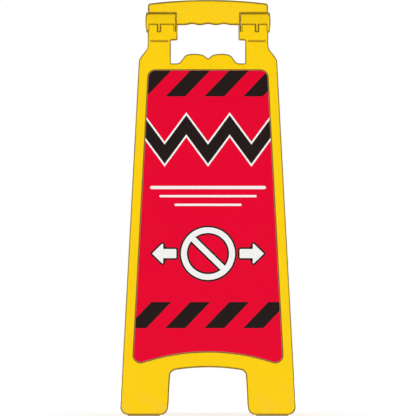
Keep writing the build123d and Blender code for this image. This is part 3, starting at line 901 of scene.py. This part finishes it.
class STANDSIGN_OT_ring_mark(Operator):
    """Print a barred ring between two arrows, white with a black edging"""

    bl_idname = "stand_sign.ring_mark"
    bl_label = "Ring and arrows"

    def execute(self, context):
        sizes = context.scene.sign_print
        colours = context.scene.sign_colours
        layers = (
            ("edging", ink("black_ink_edging", colours.black), sizes.ink_edge),
            ("face", ink("white_ink_marks", colours.white), 0.0),
        )
        for leaf in LEAVES:
            outline, face = board_face(leaf)
            middle = max(y for x, y in outline) - sizes.ring_drop
            tail = sizes.ring_radius + sizes.arrow_gap
            tip = tail + sizes.arrow_length
            for level, (layer, material, grow) in enumerate(layers):
                shapes = [ring_with_bar((0, middle), sizes.ring_radius, sizes.ring_stroke, grow)]
                for way in (-1, 1):
                    widths = (sizes.arrow_head, sizes.arrow_shaft, grow, sizes.corner + grow)
                    shapes.append([arrow(way * tail, way * tip, middle, *widths)])
                low = face + level * sizes.film
                mesh = flat_mesh(f"ring_{layer}", shapes, low, low + sizes.film)
                name = f"{leaf}_ring_mark_{layer}"
                add_piece(name, mesh, f"{leaf}_leaf", place=leaf_matrix(leaf), material=material)
        return {"FINISHED"}


class STANDSIGN_OT_zigzag_line(Operator):
    """Print a black zigzag with a white edging across each board"""

    bl_idname = "stand_sign.zigzag_line"
    bl_label = "Zigzag line"

    def execute(self, context):
        sizes = context.scene.sign_print
        colours = context.scene.sign_colours
        slope = math.hypot(1, sizes.zigzag_rise / sizes.zigzag_step)
        layers = (
            ("edging", ink("white_ink_edging", colours.white), sizes.ink_edge * slope),
            ("face", ink("black_ink_zigzag", colours.black), 0.0),
        )
        tree = zigzag_tree()
        for leaf in LEAVES:
            outline, face = board_face(leaf)
            for level, (layer, material, grow) in enumerate(layers):
                low = face + level * sizes.film
                film = prism("zigzag_film", grown(outline, -sizes.trim), low, low + sizes.film)
                zigzag = run_tree(
                    tree,
                    film,
                    {
                        "Step": sizes.zigzag_step,
                        "Rise": sizes.zigzag_rise,
                        "Stroke": sizes.zigzag_stroke + 2 * grow,
                        "Middle": max(y for x, y in outline) - sizes.zigzag_drop,
                        "Depth": CUTTER_SHARE * face,
                        "Steps": 2 * math.ceil(max(x for x, y in outline) / sizes.zigzag_step),
                        "Material": material,
                    },
                )
                add_piece(f"{leaf}_zigzag_{layer}", zigzag, f"{leaf}_leaf", place=leaf_matrix(leaf))
        return {"FINISHED"}


class STANDSIGN_OT_ruled_lines(Operator):
    """Print three plain white lines across each board"""

    bl_idname = "stand_sign.ruled_lines"
    bl_label = "Ruled lines"

    def execute(self, context):
        sizes = context.scene.sign_print
        white = ink("white_ink_rules", context.scene.sign_colours.white)
        for leaf in LEAVES:
            outline, face = board_face(leaf)
            first = max(y for x, y in outline) - sizes.rule_drop
            shapes = []
            for row, (length, height) in enumerate(RULES):
                middle = first - row * sizes.rule_pitch
                shapes.append([capsule(middle, sizes.rule_length * length, sizes.rule_height * height)])
            mesh = flat_mesh("rules", shapes, face, face + sizes.film)
            add_piece(f"{leaf}_ruled_lines", mesh, f"{leaf}_leaf", place=leaf_matrix(leaf), material=white)
        return {"FINISHED"}


class STANDSIGN_OT_ejector_marks(Operator):
    """Add the round marks that ejector pins leave behind each panel"""

    bl_idname = "stand_sign.ejector_marks"
    bl_label = "Ejector marks"

    def execute(self, context):
        sizes = context.scene.sign_moulding
        plastic = frame["nodes"]["front_frame"].data.materials[0]
        tree = marks_tree()
        for leaf in LEAVES:
            marks = run_tree(
                tree,
                bpy.data.meshes.new("no_marks"),
                {
                    "Radius": sizes.mark_radius,
                    "Height": sizes.mark_height,
                    "Pitch X": sizes.mark_pitch_x,
                    "Pitch Y": sizes.mark_pitch_y,
                    "Columns": sizes.mark_columns,
                    "Rows": sizes.mark_rows,
                    "Middle": -sizes.mark_drop,
                    "Level": sizes.panel_level - sizes.mark_height / 2,
                    "Material": plastic,
                },
            )
            add_piece(f"{leaf}_ejector_marks", marks, f"{leaf}_leaf", leaf_matrix(leaf))
        return {"FINISHED"}


class STANDSIGN_OT_foot_pads(Operator):
    """Cut a tread into the sole of each rubber pad"""

    bl_idname = "stand_sign.foot_pads"
    bl_label = "Foot pads"

    def execute(self, context):
        sizes = context.scene.sign_moulding
        rubber = pad_rubber(context.scene.sign_colours)
        tree = tread_tree()
        for leaf in LEAVES:
            for side in SIDES:
                node = f"{leaf}_{side}_foot_pad"
                low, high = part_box(node)
                pad = bpy.data.meshes.new("pad")
                cut = merged_copy(node)
                cut.to_mesh(pad)
                cut.free()
                sole = run_tree(
                    tree,
                    pad,
                    {
                        "Pitch": sizes.tread_pitch,
                        "Width": sizes.tread_width,
                        "Depth": sizes.tread_depth,
                        "Reach": high.y - low.y - 2 * sizes.tread_rim,
                        "Count": int((high.x - low.x) / sizes.tread_pitch) - 1,
                        "X": (low.x + high.x) / 2,
                        "Y": (low.y + high.y) / 2,
                        "Floor": low.z,
                        "Material": rubber,
                    },
                )
                piece = add_piece(f"{leaf}_{side}_pad_tread", sole, f"{leaf}_leaf")
                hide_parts(node)
        return {"FINISHED"}


class STANDSIGN_OT_stage(Operator):
    """Set up the pale floor, the soft lights and the camera"""

    bl_idname = "stand_sign.stage"
    bl_label = "Studio stage"

    def softbox(self, context, name, place, width, watts):
        """Square soft light that faces the middle of the sign."""
        light = bpy.data.lights.new(name, "AREA")
        light.size = width
        light.energy = watts
        obj = bpy.data.objects.new(name, light)
        obj.location = place
        aim = (cad_low + cad_high) / 2 - Vector(place)
        obj.rotation_euler = aim.to_track_quat("-Z", "Y").to_euler()
        obj.visible_camera = False
        context.scene.collection.objects.link(obj)

    def sky(self, context, level):
        """Even light from all round, seen as white by the camera and in reflections."""
        world = bpy.data.worlds.new("white_studio")
        world.use_nodes = True
        tree = world.node_tree
        seen = seen_directly(tree)
        soft = tree.nodes["Background"]
        soft.inputs["Color"].default_value = (1, 1, 1, 1)
        soft.inputs["Strength"].default_value = level
        white = add_node(tree, "ShaderNodeBackground", {"Color": (1, 1, 1, 1), "Strength": 1.0})
        blend = add_node(tree, "ShaderNodeMixShader", {0: seen, 1: soft.outputs[0], 2: white.outputs[0]})
        tree.links.new(blend.outputs[0], tree.nodes["World Output"].inputs["Surface"])
        context.scene.world = world

    def floor(self, context, sizes):
        """Pale round floor that keeps the sign's shadow and fades to white."""
        disc = bmesh.new()
        bmesh.ops.create_circle(disc, cap_ends=True, segments=CIRCLE_STEPS, radius=sizes.floor_radius)
        bmesh.ops.translate(disc, verts=disc.verts, vec=(0, 0, cad_low.z - sizes.floor_drop))
        mesh = bpy.data.meshes.new("floor")
        disc.to_mesh(mesh)
        disc.free()
        material, tree, surface, place = new_material("pale_floor")
        surface.inputs["Base Color"].default_value = (0.9, 0.9, 0.9, 1)
        surface.inputs["Roughness"].default_value = 0.9
        surface.inputs["Specular IOR Level"].default_value = 0.0
        away = add_node(tree, "ShaderNodeVectorMath", {0: place}, operation="LENGTH").outputs["Value"]
        fade = ranged(tree, away, sizes.fade_start, sizes.fade_end, 1 - sizes.shadow, 1.0)
        seen = calculate(tree, "MULTIPLY", seen_directly(tree), fade)
        level = (1 - sizes.shadow * sizes.bare_floor) / (1 - sizes.shadow)
        white = add_node(tree, "ShaderNodeEmission", {"Color": (1, 1, 1, 1), "Strength": level})
        blend = add_node(tree, "ShaderNodeMixShader", {0: seen, 1: surface.outputs[0], 2: white.outputs[0]})
        tree.links.new(blend.outputs[0], tree.nodes["Material Output"].inputs["Surface"])
        mesh.materials.append(material)
        obj = bpy.data.objects.new("floor", mesh)
        context.scene.collection.objects.link(obj)

    def camera(self, context, distance):
        """Long lens, level, straight in front. The sign fills the picture from top to bottom."""
        camera = bpy.data.cameras.new("camera")
        near = distance + cad_low.y
        height = (cad_high.z - cad_low.z) * near / (near + distance)
        camera.lens = camera.sensor_width / 2 * near / height
        camera.clip_end = 3 * distance
        obj = bpy.data.objects.new("camera", camera)
        obj.location = (0, -distance, height)
        obj.rotation_euler = (math.pi / 2, 0, 0)
        context.scene.collection.objects.link(obj)
        context.scene.camera = obj

    def execute(self, context):
        sizes = context.scene.sign_stage
        self.floor(context, sizes)
        self.sky(context, sizes.sky)
        far, up = sizes.box_distance, sizes.box_height
        for side, x in (("left", -sizes.box_side), ("right", sizes.box_side)):
            self.softbox(context, f"front_{side}_softbox", (x, -far, up), sizes.box_width, sizes.front)
            self.softbox(context, f"rear_{side}_softbox", (x, far, up), sizes.box_width, sizes.rear)
        self.softbox(context, "top_softbox", (0, 0, sizes.top_height), sizes.top_width, sizes.top)
        self.camera(context, sizes.camera_distance)
        context.scene.view_settings.view_transform = "Standard"
        return {"FINISHED"}


OPERATORS = (
    STANDSIGN_OT_mouldings,
    STANDSIGN_OT_metalwork,
    STANDSIGN_OT_boards,
    STANDSIGN_OT_hazard_stripes,
    STANDSIGN_OT_ring_mark,
    STANDSIGN_OT_zigzag_line,
    STANDSIGN_OT_ruled_lines,
    STANDSIGN_OT_ejector_marks,
    STANDSIGN_OT_foot_pads,
    STANDSIGN_OT_stage,
)


class STANDSIGN_PT_finishes(Panel):
    """Lists the steps that finish the sign"""

    bl_idname = "STANDSIGN_PT_finishes"
    bl_label = "Stand Sign"
    bl_space_type = "VIEW_3D"
    bl_region_type = "UI"
    bl_category = "Stand Sign"

    def draw(self, context):
        for step in OPERATORS:
            self.layout.operator(step.bl_idname)


GROUPS = {
    "sign_colours": FinishColours,
    "sign_print": PrintSizes,
    "sign_moulding": MouldingSizes,
    "sign_stage": StageSizes,
}


def register():
    for item in (*GROUPS.values(), *OPERATORS, STANDSIGN_PT_finishes):
        bpy.utils.register_class(item)
    for name, group in GROUPS.items():
        setattr(bpy.types.Scene, name, PointerProperty(type=group))


def unregister():
    for name in GROUPS:
        delattr(bpy.types.Scene, name)
    for item in reversed((*GROUPS.values(), *OPERATORS, STANDSIGN_PT_finishes)):
        bpy.utils.unregister_class(item)


def main():
    """Finish the sign step by step."""
    register()
    bpy.ops.stand_sign.mouldings()
    bpy.ops.stand_sign.metalwork()
    bpy.ops.stand_sign.boards()
    bpy.ops.stand_sign.hazard_stripes()
    bpy.ops.stand_sign.ring_mark()
    bpy.ops.stand_sign.zigzag_line()
    bpy.ops.stand_sign.ruled_lines()
    bpy.ops.stand_sign.ejector_marks()
    bpy.ops.stand_sign.foot_pads()
    bpy.ops.stand_sign.stage()


if __name__ == "__main__":
    main()
